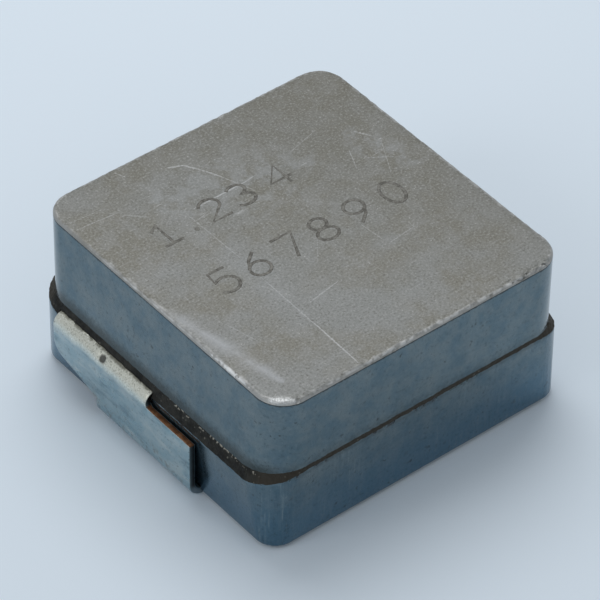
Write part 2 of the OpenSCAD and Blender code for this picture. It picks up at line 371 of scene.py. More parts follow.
def pressed_face_material():
    """Pressed top and underside: warm grey, finely mottled, scratched, rubbed at the rim."""
    material, tree, shader, place = new_material("pressed_face")
    grain = use(tree, GRAIN, Place=place, Size=0.07)
    cloud = noise_value(tree, place, 0.3, 3.0, 0.6)
    patch = noise_value(tree, place, 1.6, 3.0, 0.6)
    fleck = noise_value(tree, place, 12.0, 3.0, 0.75)
    base = mix(tree, ramp(tree, cloud, 0.38, 0.62), colour(0.198, 0.192, 0.163), colour(0.23, 0.237, 0.23))
    base = mix(tree, ramp(tree, patch, 0.42, 0.66, 0.0, 0.4), base, colour(0.255, 0.258, 0.25))
    # painted shade: the top face warmer and darker towards the far corner, as if less light falls there
    parts = add(tree, "ShaderNodeSeparateXYZ", place).outputs
    painted_far_shade = ramp(tree, plus(tree, parts["X"], parts["Y"]), -6.0, 8.0, 0.0, 0.72)
    base = mix(tree, painted_far_shade, base, colour(0.152, 0.148, 0.124))
    base = mix(tree, ramp(tree, fleck, 0.5, 0.7, 0.0, 0.8), base, colour(0.325, 0.328, 0.316))
    base = mix(tree, ramp(tree, fleck, 0.48, 0.3, 0.0, 0.75), base, colour(0.115, 0.112, 0.094))
    base = mix(tree, times(tree, grain["Pores"], 0.35), base, colour(0.1, 0.096, 0.085))

    soft = None
    for start, end, width, strength in BANDS:
        band = scratch(tree, place, start, end, width, softness=1.0)
        band = times(tree, band, strength)
        soft = band if soft is None else most(tree, soft, band)
    soft = times(tree, soft, ramp(tree, patch, 0.3, 0.62, 0.5, 1.0))
    base = mix(tree, soft, base, colour(0.43, 0.445, 0.47))

    rubbed = None
    for turn, scale, cover in ((28, 1.6, 0.4), (-35, 1.4, 0.36), (70, 1.9, 0.36), (-80, 1.3, 0.34)):
        lines = use(tree, HAIRLINES, Place=stretched(tree, place, turn, (0.35, 2.4, 1.0)),
                    Scale=scale, Thin=0.021, Cover=cover)["Mask"]
        rubbed = lines if rubbed is None else most(tree, rubbed, lines)
    handled = scratch(tree, place, (-3.2, 4.2), (2.6, 2.2), 5.0, softness=1.0)
    handled = most(tree, handled, scratch(tree, place, (4.2, 3.0), (5.3, 0.2), 2.6, softness=1.0))
    haze = times(tree, ramp(tree, handled, 0.0, 0.8, 0.1, 0.4), ramp(tree, patch, 0.42, 0.6))
    base = mix(tree, haze, base, colour(0.31, 0.325, 0.335))
    faint = times(tree, rubbed, ramp(tree, handled, 0.0, 0.7, 0.16, 0.85))
    for start, end, width, strength in SCRATCHES:
        mask = scratch(tree, place, start, end, width)
        mask = times(tree, mask, ramp(tree, fleck, 0.3, 0.6, 0.4 * strength, strength))
        faint = most(tree, faint, mask)
    base = mix(tree, faint, base, colour(0.55, 0.56, 0.57))
    sparkle = times(tree, grain["Sparkle"], ramp(tree, patch, 0.45, 0.65, 0.05, 0.4))
    base = mix(tree, sparkle, base, colour(0.6, 0.6, 0.58))

    half_x, half_y, corner = TOP.sizes[:3]
    inside = use(tree, RIM, Place=place, Half_X=half_x, Half_Y=half_y, Corner=corner)["Inside"]
    uneven = noise_value(tree, place, 2.6, 4.0, 0.7)
    ragged = plus(tree, inside, ramp(tree, uneven, 0.2, 0.8, -0.1, 0.1))
    worn = times(tree, ramp(tree, ragged, 0.17, 0.05), ramp(tree, cloud, 0.3, 0.6, 0.5, 1.0))
    base = mix(tree, worn, base, colour(0.38, 0.385, 0.38))
    # painted highlight on the worn rim: a bright line on the left edge and a fainter one on the front edge,
    # broken into dashes, and a bright rubbed front corner
    dashes = ramp(tree, noise_value(tree, place, 4.5, 1.0), 0.38, 0.5)
    bright = times(tree, scratch(tree, place, (-6.14, -2.7), (-6.14, -5.1), 0.2), dashes)
    line = times(tree, scratch(tree, place, (-6.14, 5.9), (-6.14, -5.6), 0.14),
                 ramp(tree, dashes, 0.0, 1.0, 0.35, 1.0))
    bright = most(tree, bright, times(tree, line, 0.7))
    line = times(tree, scratch(tree, place, (-5.2, -6.36), (5.9, -6.36), 0.17), dashes)
    bright = most(tree, bright, times(tree, line, 0.36))
    front = times(tree, scratch(tree, place, (-6.05, -5.7), (-5.3, -6.32), 0.36, softness=0.6),
                  ramp(tree, fleck, 0.38, 0.6, 0.3, 0.85))
    bright = most(tree, bright, front)
    base = mix(tree, bright, base, colour(0.88, 0.9, 0.91))
    wire(tree, base, shader.inputs["Base Color"])
    shader.inputs["Metallic"].default_value = 0.25
    rough = ramp(tree, fleck, 0.3, 0.7, 0.6, 0.48)
    rough = maths(tree, "SUBTRACT", rough, times(tree, worn, 0.12))
    wire(tree, rough, shader.inputs["Roughness"])
    bump(tree, shader, grain["Height"], 0.3, 0.015)
    return material


def rubbed_wall_material():
    """Die-rubbed sides: dark, nearly polished, with upright draw marks."""
    material, tree, shader, place = new_material("rubbed_wall")
    sides = add(tree, "ShaderNodeSeparateXYZ", place).outputs
    height = sides["Z"]
    upright = add(tree, "ShaderNodeMapping", place)
    upright.inputs["Scale"].default_value = (1.0, 1.0, 0.06)
    marks = noise_value(tree, upright.outputs[0], 9.0, 4.0, 0.7)
    cloud = noise_value(tree, place, 0.8, 3.0, 0.6)
    fleck = noise_value(tree, place, 8.0, 3.0, 0.7)
    # painted reflection: the dark steel-grey wall colours carry a blue tint that stands in for blue
    # surroundings mirrored in the glossy sides
    base = mix(tree, ramp(tree, cloud, 0.35, 0.65), colour(0.11, 0.163, 0.192), colour(0.152, 0.198, 0.217))
    blotch = noise_value(tree, place, 1.9, 2.0, 0.5)
    base = mix(tree, ramp(tree, blotch, 0.45, 0.7, 0.0, 0.3), base, colour(0.205, 0.228, 0.228))
    base = mix(tree, ramp(tree, blotch, 0.5, 0.25, 0.0, 0.3), base, colour(0.075, 0.14, 0.195))
    # painted reflection: bluer towards the bottom, for the floor mirrored in the lower sides
    base = mix(tree, ramp(tree, height, 3.3, 0.3, 0.0, 0.7), base, colour(0.1, 0.205, 0.295))
    lower = ramp(tree, height, 3.3, 2.9)
    # darker round the upright corners, where most of the draw marks are
    reach = plus(tree, maths(tree, "ABSOLUTE", sides["X"]), maths(tree, "ABSOLUTE", sides["Y"]))
    patches = most(tree, ramp(tree, cloud, 0.42, 0.62, 0.25, 1.0),
                   ramp(tree, reach, 11.3, 12.3, 0.0, 1.5))
    base = mix(tree, ramp(tree, reach, 11.4, 12.4, 0.0, 0.35), base, colour(0.05, 0.11, 0.16))
    drawn = times(tree, ramp(tree, lower, 0.0, 1.0, 0.2, 1.0), patches)
    base = mix(tree, times(tree, ramp(tree, marks, 0.52, 0.75, 0.0, 0.55), drawn), base,
               colour(0.25, 0.31, 0.33))
    base = mix(tree, times(tree, ramp(tree, marks, 0.46, 0.3, 0.0, 0.3), drawn), base,
               colour(0.045, 0.085, 0.12))
    base = mix(tree, ramp(tree, fleck, 0.5, 0.78, 0.0, 0.35), base, colour(0.22, 0.27, 0.29))
    base = mix(tree, ramp(tree, fleck, 0.46, 0.26, 0.0, 0.55), base, colour(0.05, 0.075, 0.085))
    grain = use(tree, GRAIN, Place=place, Size=0.1)
    spots = times(tree, grain["Pores"], ramp(tree, cloud, 0.45, 0.62, 0.2, 0.7))
    base = mix(tree, spots, base, colour(0.035, 0.04, 0.04))
    # painted reflection: the foot of the upper half darkened, most on the terminal sides, for the dark
    # parting step mirrored in the glossy wall
    beside = ramp(tree, maths(tree, "ABSOLUTE", sides["X"]), 5.7, 6.2, 0.35, 0.85)
    level = plus(tree, height, ramp(tree, fleck, 0.3, 0.7, -0.06, 0.06))
    painted_foot_reflection = times(tree, ramp(tree, level, 3.85, 3.3), ramp(tree, height, 3.0, 3.15))
    base = mix(tree, times(tree, painted_foot_reflection, beside), base, colour(0.045, 0.055, 0.055))
    # painted reflection: a dark line just under the top edge, for dark surroundings mirrored in the rounded
    # rim
    level = plus(tree, height, ramp(tree, fleck, 0.3, 0.7, -0.03, 0.03))
    under = ramp(tree, level, 6.3, 6.35, 0.0, 0.75)
    base = mix(tree, under, base, colour(0.035, 0.036, 0.033))
    wire(tree, base, shader.inputs["Base Color"])
    shader.inputs["Metallic"].default_value = 0.92
    rough = ramp(tree, marks, 0.3, 0.7, 0.12, 0.2)
    rough = plus(tree, rough, times(tree, lower, 0.05))
    wire(tree, rough, shader.inputs["Roughness"])
    bump(tree, shader, plus(tree, marks, times(tree, fleck, 0.5)), 0.14, 0.012)
    return material


def parting_step_material():
    """Unrubbed powder on the parting step: nearly black and granular."""
    material, tree, shader, place = new_material("parting_step")
    grain = use(tree, GRAIN, Place=place, Size=0.1)
    parts = add(tree, "ShaderNodeSeparateXYZ", place).outputs
    cloud = noise_value(tree, place, 2.2, 3.0, 0.65)
    base = mix(tree, ramp(tree, cloud, 0.3, 0.7), colour(0.006, 0.006, 0.005), colour(0.03, 0.029, 0.024))
    # browner and smoother round the corners and on the plain sides
    plain = ramp(tree, maths(tree, "ABSOLUTE", parts["Y"]), 5.35, 5.75)
    base = mix(tree, plain, base, colour(0.04, 0.035, 0.027))
    base = mix(tree, times(tree, grain["Sparkle"], 0.5), base, colour(0.25, 0.24, 0.2))
    # painted highlights: pale grain-sized specks along the foot of the upper half, on the front half of the
    # terminal sides
    line = times(tree, ramp(tree, parts["Z"], 3.08, 3.14), ramp(tree, parts["Z"], 3.24, 3.18))
    line = times(tree, line, ramp(tree, parts["Y"], -0.4, -0.7))
    line = times(tree, line, maths(tree, "SUBTRACT", 1.0, plain))
    painted_foot_highlights = times(tree, line, ramp(tree, noise_value(tree, place, 6.5, 2.0), 0.58, 0.64))
    base = mix(tree, painted_foot_highlights, base, colour(0.34, 0.32, 0.27))
    wire(tree, base, shader.inputs["Base Color"])
    shader.inputs["Metallic"].default_value = 0.1
    shader.inputs["Roughness"].default_value = 0.6
    shader.inputs["Specular IOR Level"].default_value = 0.25
    bump(tree, shader, grain["Height"], 0.9, 0.05)
    return material


def tin_material():
    """Tin plating: pale and grainy on the upper bend, where a highlight is painted, darker and smoother on
    the lug; its blue tint is painted reflection.
    """
    material, tree, shader, place = new_material("tin_plating")
    parts = add(tree, "ShaderNodeSeparateXYZ", place).outputs
    height = parts["Z"]
    grain = use(tree, GRAIN, Place=place, Size=0.07)
    cloud = noise_value(tree, place, 0.9, 3.0, 0.6)
    patch = noise_value(tree, place, 2.6, 4.0, 0.65)
    fleck = noise_value(tree, place, 9.0, 3.0, 0.7)
    bend = ramp(tree, plus(tree, height, ramp(tree, patch, 0.3, 0.7, -0.03, 0.03)), 2.34, 2.74)
    # painted reflection: the blue tint in these tin colours stands in for blue surroundings mirrored in the
    # plating
    base = mix(tree, ramp(tree, cloud, 0.35, 0.65), colour(0.27, 0.39, 0.44), colour(0.34, 0.44, 0.475))
    along = add(tree, "ShaderNodeMapping", place)
    along.inputs["Rotation"].default_value = (math.radians(-18), 0, 0)
    along.inputs["Scale"].default_value = (1.0, 0.45, 1.5)
    cloudy = noise_value(tree, along.outputs[0], 1.5, 3.0, 0.6)
    base = mix(tree, ramp(tree, cloudy, 0.5, 0.68, 0.0, 0.7), base, colour(0.47, 0.53, 0.53))
    base = mix(tree, ramp(tree, cloudy, 0.47, 0.3, 0.0, 0.75), base, colour(0.17, 0.255, 0.3))
    base = mix(tree, ramp(tree, patch, 0.5, 0.75, 0.0, 0.4), base, colour(0.5, 0.54, 0.52))
    base = mix(tree, ramp(tree, patch, 0.45, 0.28, 0.0, 0.4), base, colour(0.2, 0.27, 0.3))
    base = mix(tree, ramp(tree, fleck, 0.43, 0.3, 0.0, 0.5), base, colour(0.13, 0.17, 0.18))
    smudge = times(tree, ramp(tree, height, 1.15, 0.7), ramp(tree, patch, 0.5, 0.66))
    base = mix(tree, times(tree, smudge, 0.6), base, colour(0.13, 0.12, 0.1))
    # painted highlight: the upper bend turned pale
    base = mix(tree, bend, base, colour(0.72, 0.73, 0.65))
    speck = noise_value(tree, place, 16.0, 2.0, 0.6)
    mottle = times(tree, bend, ramp(tree, speck, 0.48, 0.3, 0.0, 0.55))
    base = mix(tree, mottle, base, colour(0.24, 0.245, 0.21))
    # painted glints: bright specks on the bend
    painted_glint = times(tree, bend, ramp(tree, speck, 0.53, 0.72, 0.0, 0.7))
    base = mix(tree, painted_glint, base, colour(0.92, 0.93, 0.9))
    # painted shade where the tab leaves the block
    outwards = plus(tree, maths(tree, "ABSOLUTE", parts["X"]), ramp(tree, patch, 0.3, 0.7, -0.09, 0.09))
    painted_slot_shade = times(tree, ramp(tree, outwards, 6.6, 6.47, 0.0, 0.85), ramp(tree, height, 2.87, 2.91))
    base = mix(tree, painted_slot_shade, base, colour(0.16, 0.16, 0.13))
    base = mix(tree, times(tree, grain["Pores"], 0.5), base, colour(0.13, 0.13, 0.12))
    # dark patch round the pit on the left terminal
    pit_place = (-cad_high.x / MM + 0.1, PIT[0], PIT[1])
    from_pit = add(tree, "ShaderNodeVectorMath", place, pit_place, operation="DISTANCE").outputs["Value"]
    from_pit = plus(tree, from_pit, ramp(tree, fleck, 0.3, 0.7, -0.012, 0.012))
    base = mix(tree, ramp(tree, from_pit, 0.19, 0.12, 0.0, 0.9), base, colour(0.075, 0.075, 0.07))
    wire(tree, base, shader.inputs["Base Color"])
    shader.inputs["Metallic"].default_value = 0.85
    wire(tree, plus(tree, ramp(tree, cloud, 0.3, 0.7, 0.26, 0.34), times(tree, bend, 0.14)),
         shader.inputs["Roughness"])
    bump(tree, shader, plus(tree, fleck, grain["Height"]), 0.3, 0.02)
    return material


def cut_edge_material():
    """Sheared edges of the strip: bare copper on the shoulder; elsewhere painted shade, near black towards
    the block, with a painted blue-grey reflection on the outer rim and low down.
    """
    material, tree, shader, place = new_material("cut_edge")
    parts = add(tree, "ShaderNodeSeparateXYZ", place).outputs
    height = parts["Z"]
    cloud = noise_value(tree, place, 4.0, 3.0, 0.6)
    # painted shade and reflection: near black towards the block, blue-grey on the outer rim and low down
    outer = ramp(tree, maths(tree, "ABSOLUTE", parts["X"]), 6.6, 6.8)
    dark = mix(tree, outer, colour(0.01, 0.009, 0.009), colour(0.1, 0.13, 0.14))
    dark = mix(tree, ramp(tree, height, 0.62, 0.3, 0.0, 0.8), dark, colour(0.2, 0.26, 0.3))
    copper = mix(tree, ramp(tree, cloud, 0.35, 0.65), colour(0.13, 0.052, 0.02), colour(0.26, 0.12, 0.055))
    shoulder = times(tree, ramp(tree, height, 2.37, 2.41), ramp(tree, height, 2.52, 2.44))
    wire(tree, mix(tree, shoulder, dark, copper), shader.inputs["Base Color"])
    shader.inputs["Metallic"].default_value = 0.6
    wire(tree, ramp(tree, cloud, 0.3, 0.7, 0.4, 0.55), shader.inputs["Roughness"])
    bump(tree, shader, cloud, 0.4, 0.015)
    return material


def marking_material():
    """Thin marked lines on the top face, a shade darker than the powder."""
    material, tree, shader, place = new_material("marked_line")
    fleck = noise_value(tree, place, 7.0, 3.0, 0.7)
    base = mix(tree, ramp(tree, fleck, 0.35, 0.68), colour(0.085, 0.08, 0.068), colour(0.19, 0.185, 0.165))
    wire(tree, base, shader.inputs["Base Color"])
    shader.inputs["Metallic"].default_value = 0.2
    wire(tree, ramp(tree, fleck, 0.3, 0.7, 0.6, 0.5), shader.inputs["Roughness"])
    bump(tree, shader, fleck, 0.3, 0.01)
    return material


def enamelled_copper_material():
    """Copper wire under clear enamel."""
    material, tree, shader, place = new_material("enamelled_copper")
    cloud = noise_value(tree, place, 2.0, 2.0, 0.5)
    base = mix(tree, cloud, colour(0.5, 0.17, 0.06), colour(0.66, 0.26, 0.1))
    wire(tree, base, shader.inputs["Base Color"])
    shader.inputs["Metallic"].default_value = 0.9
    wire(tree, ramp(tree, cloud, 0.3, 0.7, 0.25, 0.35), shader.inputs["Roughness"])
    shader.inputs["Coat Weight"].default_value = 0.6
    return material


# --- modelling helpers -----------------------------------------------------------

# Points nearer than this, in millimetres, are one point
MERGE = 0.0005


def deselect():
    if bpy.context.object and bpy.context.object.mode != "OBJECT":
        bpy.ops.object.mode_set(mode="OBJECT")
    bpy.ops.object.select_all(action="DESELECT")


def choose(piece):
    """Makes a piece the only selected one, and active."""
    deselect()
    piece.select_set(True)
    bpy.context.view_layer.objects.active = piece


def apply_modifier(piece, kind, **settings):
    choose(piece)
    modifier = piece.modifiers.new(kind.lower(), kind)
    for name, value in settings.items():
        setattr(modifier, name, value)
    bpy.ops.object.modifier_apply(modifier=modifier.name)


def mesh_step(piece, *operations):
    """Runs edit-mode operators with everything selected."""
    choose(piece)
    bpy.ops.object.mode_set(mode="EDIT")
    bpy.ops.mesh.select_all(action="SELECT")
    for operation in operations:
        operation()
    bpy.ops.object.mode_set(mode="OBJECT")


# --- moulded body ------------------------------------------------------------------

class Outline:
    """Rounded rectangle: half widths, corner radius, heights on the X and Y sides."""

    def __init__(self, half_x, half_y, corner, z_x, z_y):
        self.sizes = (half_x, half_y, corner, z_x, z_y)

    def inset(self, distance, rise=0.0):
        x, y, corner, z_x, z_y = self.sizes
        return Outline(x - distance, y - distance, corner - distance, z_x + rise, z_y + rise)

    def towards(self, other, share):
        return Outline(*[a + (b - a) * share for a, b in zip(self.sizes, other.sizes)])

    def point(self, u):
        """Point and outward direction at u, 0 to 1 round the outline from the +X side."""
        half_x, half_y, corner, z_x, z_y = self.sizes
        stretch = u * 8 % 8
        quarter, t = int(stretch // 2), stretch % 2
        centre_x = (half_x - corner) * (1 if quarter in (0, 3) else -1)
        centre_y = (half_y - corner) * (1 if quarter < 2 else -1)
        if t < 1:
            turn = (quarter + t) * math.pi / 2
            share = t if quarter % 2 == 0 else 1 - t
            out = Vector((math.cos(turn), math.sin(turn), 0))
            return Vector((centre_x, centre_y, z_x + (z_y - z_x) * share)) + out * corner, out
        turn = (quarter + 1) * math.pi / 2
        out = Vector((round(math.cos(turn)), round(math.sin(turn)), 0))
        run = Vector((-out.y, out.x, 0))
        half = half_y - corner if out.x else half_x - corner
        start = Vector((centre_x, centre_y, z_y if out.y else z_x)) + out * corner
        return start + run * (2 * half * (t - 1)), out


# Radii of the rounded rims, and the block's half widths and heights
TOP_EDGE = 0.12
BASE_EDGE = 0.10
wide_x, wide_y = body_high.x / MM, body_high.y / MM
top_z, base_z = body_high.z / MM, body_low.z / MM
# The block's four outlines: the drafts and the step are taken off its half widths
TOP = Outline(wide_x - 0.39, wide_y - 0.03, 1.1, top_z, top_z)
STEP_INNER = Outline(wide_x - 0.17, wide_y - 0.02, 1.55, 3.18, 3.40)
STEP_OUTER = Outline(wide_x, wide_y, 1.35, 2.75, 3.23)
BASE = Outline(wide_x - 0.2, wide_y - 0.08, 0.8, base_z, base_z)

# Finishes, in the order of the block's material slots, and the points round an outline
FACE, WALL, STEP = range(3)
AROUND = 1000


def levels():
    """Outlines from the underside to the top face, each with the finish above it."""
    rows = []
    for i in range(5):
        a = math.radians(90 * i / 4)
        rows.append((BASE.inset(BASE_EDGE * (1 - math.sin(a)), BASE_EDGE * (1 - math.cos(a))), WALL))
    low = rows[-1][0]
    rows += [(low.towards(STEP_OUTER, t), WALL) for t in (0.1, 0.25, 0.4, 0.55, 0.7, 0.85, 0.95)]
    rows += [(STEP_OUTER.towards(STEP_INNER, t), STEP)
             for t in (0, 0.06, 0.14, 0.24, 0.34, 0.44, 0.54, 0.64, 0.74, 0.84, 0.93)]
    high = TOP.inset(0, -TOP_EDGE)
    rows += [(STEP_INNER.towards(high, t), WALL)
             for t in (0, 0.015, 0.05, 0.15, 0.3, 0.5, 0.7, 0.85, 0.93, 0.97, 0.99)]
    for i in range(7):
        a = math.radians(90 * i / 6)
        rows.append((TOP.inset(TOP_EDGE * (1 - math.cos(a)), TOP_EDGE * (math.sin(a) - 1)), FACE))
    rows += [(TOP.inset(TOP_EDGE + d), FACE) for d in (0.03, 0.07, 0.13, 0.22, 0.36, 0.6)]
    return rows


def make_body(face, wall, step):
    """Powder block: a net wrapped on the outlines, whose four corner radii differ."""
    rows = levels()
    up = len(rows) - 1
    deselect()
    bpy.ops.mesh.primitive_grid_add(x_subdivisions=AROUND, y_subdivisions=up, size=1)
    body = bpy.context.object
    body.name = "powder_block"
    mesh = body.data
    mesh.name = "powder_block"
    for material in (face, wall, step):
        mesh.materials.append(material)
    for polygon in mesh.polygons:
        level = int((polygon.center.y + 0.5) * up)
        polygon.material_index = rows[level][1]
    for vertex in mesh.vertices:
        u = (vertex.co.x + 0.5) % 1.0
        level = round((vertex.co.y + 0.5) * up)
        point, out = rows[level][0].point(u)
        vertex.co = (point + relief(point, out, level, rows)) * MM
    mesh_step(
        body,
        lambda: bpy.ops.mesh.remove_doubles(threshold=MERGE * MM),
        lambda: bpy.ops.mesh.select_all(action="DESELECT"),
        lambda: bpy.ops.mesh.select_non_manifold(),
        lambda: bpy.ops.mesh.edge_face_add(),
        lambda: bpy.ops.mesh.select_all(action="SELECT"),
        lambda: bpy.ops.mesh.normals_make_consistent(inside=False),
    )
    # both closing faces lie flat, well away from the parting step
    for polygon in mesh.polygons:
        if abs(polygon.normal.z) > 0.98 and not base_z + 0.5 < polygon.center.z / MM < top_z - 0.5:
            polygon.material_index = FACE
    return body


def rough(point, scale, seed=0.0):
    """Uneven value from -1 to 1 at a point, with features of about 1 / scale mm."""
    return noise.noise(point * scale + Vector((seed, seed * 0.7, -seed)))


def relief(point, out, level, rows):
    """Small unevenness in millimetres: draw flutes, ragged parting step, chipped rim."""
    finish, below = rows[level][1], rows[max(level - 1, 0)][1]
    shift = Vector()
    if finish == STEP or below == STEP:
        edge = finish != below
        amount = 0.6 if edge else 1.0
        shift += out * amount * (0.022 * rough(point, 6) + 0.016 * rough(point, 15, 3))
        shift.z += amount * (0.02 * rough(point, 5, 5) + 0.022 * rough(point, 13, 8))
        if finish == STEP and edge and abs(out.y) > 0.5:
            shift.z += 0.035 * rough(point, 3.5, 11) + 0.02 * rough(point, 9, 2)
    # draw flutes, low on the upright corners
    if finish == WALL:
        low = max(0.0, min(1.0, (2.6 - point.z) / 1.2))
        corner = 4 * abs(out.x * out.y) ** 2
        flutes = noise.noise(Vector((point.x * 4.5, point.y * 4.5, point.z * 0.25)))
        shift -= out * 0.03 * low * corner * abs(flutes)
    # worn rim of the top face, chipped on the -Y side and blunted at the front corner
    if finish == FACE:
        rim = max(0.0, 1 - (top_z - point.z) / TOP_EDGE * 0.4) if point.z > top_z - TOP_EDGE else 0.0
        inside = min(TOP.sizes[0] - abs(point.x), TOP.sizes[1] - abs(point.y))
        near = rim * max(0.0, 1 - inside / 0.3)
        wear = 0.016 * (1 + rough(point, 4, 1)) + 0.02 * max(0.0, rough(point, 11, 4))
        if out.y < -0.5:
            chip = max(0.0, rough(point, 5, 21) - 0.12) + max(0.0, rough(point, 12, 9) - 0.1)
            wear += 0.09 * chip * (1.6 if point.x > 3.6 else 0.7)
        blunt = max(0.0, -out.x * 0.7 - out.y * 0.7 - 0.8)
        shift -= (out + Vector((0, 0, 1))) * near * (wear + 0.3 * blunt)
    return shift


# Gap round a terminal in the block, and the hair by which the hollow is opened, so
# that its cut faces never lie in the faces of the seats
SEAT_GAP = 0.03
HOLLOW_GAP = 0.004
# Block of powder, inside the skin, that the hollow is taken from: width and heights
CORE_WIDTH = 11.8
CORE_LOW, CORE_HIGH = 0.6, 6.0


def sink(body, cutter, gap):
    """Takes a cutter, grown by gap millimetres, out of the block; its faces are raw powder."""
    cutter.data.materials.clear()
    for material in body.data.materials:
        cutter.data.materials.append(material)
    for polygon in cutter.data.polygons:
        polygon.material_index = STEP
    mesh_step(cutter, lambda: bpy.ops.transform.shrink_fatten(value=gap * MM, use_even_offset=True))
    apply_modifier(body, "BOOLEAN", operation="DIFFERENCE", object=cutter, solver="EXACT")
    bpy.data.objects.remove(cutter)


def cut_coil_space(body):
    """Hollows the block for the coil and its tails, to the form of the solid's own hollow."""
    deselect()
    bpy.ops.mesh.primitive_cube_add(size=1, location=(0, 0, (CORE_LOW + CORE_HIGH) / 2 * MM))
    core = bpy.context.object
    form = Vector((CORE_WIDTH, CORE_WIDTH, CORE_HIGH - CORE_LOW)) * MM
    mesh_step(core, lambda: bpy.ops.transform.resize(value=form))
    bpy.ops.object.transform_apply(location=True, rotation=False, scale=False)
    solid = solid_copy("moulded_body", "block_form")
    apply_modifier(core, "BOOLEAN", operation="DIFFERENCE", object=solid, solver="EXACT")
    bpy.data.objects.remove(solid)
    sink(body, core, HOLLOW_GAP)


def cut_seats(body):
    """Sinks the tab slots and foot pockets, a little larger than the folded strips."""
    for name in ("terminal_left", "terminal_right"):
        sink(body, strip_copy(name, name + "_seat"), SEAT_GAP)


def drop_crumbs(piece, smallest):
    """Deletes loose bits of a mesh that are smaller than a size in millimetres."""
    net = bmesh.new()
    net.from_mesh(piece.data)
    left, crumbs = set(net.verts), []
    while left:
        reached = [left.pop()]
        part = list(reached)
        while reached:
            for edge in reached.pop().link_edges:
                for vertex in edge.verts:
                    if vertex in left:
                        left.remove(vertex)
                        reached.append(vertex)
                        part.append(vertex)
        spans = [max(v.co[axis] for v in part) - min(v.co[axis] for v in part) for axis in range(3)]
        if max(spans) < smallest * MM:
            crumbs += part
    bmesh.ops.delete(net, geom=crumbs, context="VERTS")
    net.to_mesh(piece.data)
    net.free()


# --- terminals ---------------------------------------------------------------------

# Thickness of the strip, outer radii of its two bends, its broken edge, the net that
# its faces are cut to, and the finer net round the pit
STRIP = 0.25
UPPER_BEND = 0.45
LOWER_BEND = 0.6
BROKEN_EDGE = 0.025
NET = 0.09
PIT_NET = 0.03
# Place of the pit on the left terminal's upper bend: along the side, and up
PIT = (2.29, 2.78)


def solid_copy(node, name):
    """Piece with the solid's form, its loose triangles joined."""
    mesh = bpy.data.meshes.new(name)
    net = bmesh.new()
    net.from_mesh(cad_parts[node].data)
    net.to_mesh(mesh)
    net.free()
    mesh.materials.clear()
    piece = bpy.data.objects.new(name, mesh)
    bpy.context.scene.collection.objects.link(piece)
    mesh_step(piece, lambda: bpy.ops.mesh.remove_doubles(threshold=MERGE * MM))
    return piece


def strip_copy(node, name):
    """Copy of a folded strip with plain, whole faces."""
    piece = solid_copy(node, name)
    mesh_step(piece, lambda: bpy.ops.mesh.dissolve_limited(angle_limit=math.radians(0.5)))
    return piece


def across_strip(point, reach, top):
    """Outward normal of the strip's outer face and height above its middle, on the +X side."""
    x, z = point.x, point.z
    high = Vector((reach - UPPER_BEND, 0, top - UPPER_BEND))
    low = Vector((reach - LOWER_BEND, 0, LOWER_BEND))
    if z > high.z:
        if x < high.x:
            return Vector((0, 0, 1)), z - (top - STRIP / 2)
        away = Vector((x - high.x, 0, z - high.z))
        return away.normalized(), away.length - (UPPER_BEND - STRIP / 2)
    if z > low.z:
        return Vector((1, 0, 0)), x - (reach - STRIP / 2)
    if x > low.x:
        away = Vector((x - low.x, 0, z - low.z))
        return away.normalized(), away.length - (LOWER_BEND - STRIP / 2)
    return Vector((0, 0, -1)), STRIP / 2 - z


def slices(first, last, spacing):
    """Places of even cuts between two ends, about a spacing apart."""
    count = max(1, round((last - first) / spacing))
    return [first + (last - first) * (i + 0.5) / count for i in range(count)]


def make_terminal(node, name, materials, handled):
    """Folded strip with broken edges, netted finely enough to take its dents."""
    side = -1 if node.endswith("left") else 1
    low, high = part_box(node)
    reach, top = max(abs(low.x), high.x) / MM, high.z / MM
    piece = strip_copy(node, name)
    for material in materials:
        piece.data.materials.append(material)
    apply_modifier(piece, "BEVEL", width=BROKEN_EDGE * MM, segments=2, limit_method="ANGLE",
                   angle_limit=math.radians(50))
    cuts = [((0, 1, 0), (0, y * MM, 0)) for y in slices(low.y / MM, high.y / MM, NET)]
    cuts += [((0, 0, 1), (0, 0, z * MM)) for z in slices(LOWER_BEND, top - UPPER_BEND, NET)]
    cuts += [((1, 0, 0), (side * x * MM, 0, 0)) for x in slices(reach - 1.4, reach - LOWER_BEND, 0.1)]
    if handled:
        cuts += [((0, 1, 0), (0, y * MM, 0)) for y in slices(PIT[0] - 0.22, PIT[0] + 0.22, PIT_NET)]
        cuts += [((0, 0, 1), (0, 0, z * MM)) for z in slices(PIT[1] - 0.16, PIT[1] + 0.16, PIT_NET)]
    choose(piece)
    bpy.ops.object.mode_set(mode="EDIT")
    for normal, place in cuts:
        bpy.ops.mesh.select_all(action="SELECT")
        bpy.ops.mesh.bisect(plane_co=place, plane_no=normal)
    bpy.ops.mesh.select_all(action="SELECT")
    bpy.ops.mesh.remove_doubles(threshold=0.0004 * MM)
    bpy.ops.mesh.dissolve_degenerate(threshold=0.0002 * MM)
    bpy.ops.object.mode_set(mode="OBJECT")
    for polygon in piece.data.polygons:
        centre = polygon.center / MM
        normal = across_strip(Vector((side * centre.x, centre.y, centre.z)), reach, top)[0]
        facing = abs(normal.dot(Vector((side * polygon.normal.x, polygon.normal.y, polygon.normal.z))))
        polygon.material_index = 0 if facing > 0.3 else 1
    for vertex in piece.data.vertices:
        place = vertex.co / MM
        normal, height = across_strip(Vector((side * place.x, place.y, place.z)), reach, top)
        if height > 0:
            normal.x *= side
            vertex.co += normal * dent(place, handled) * MM
            vertex.co.z = max(vertex.co.z, low.z)
    return piece


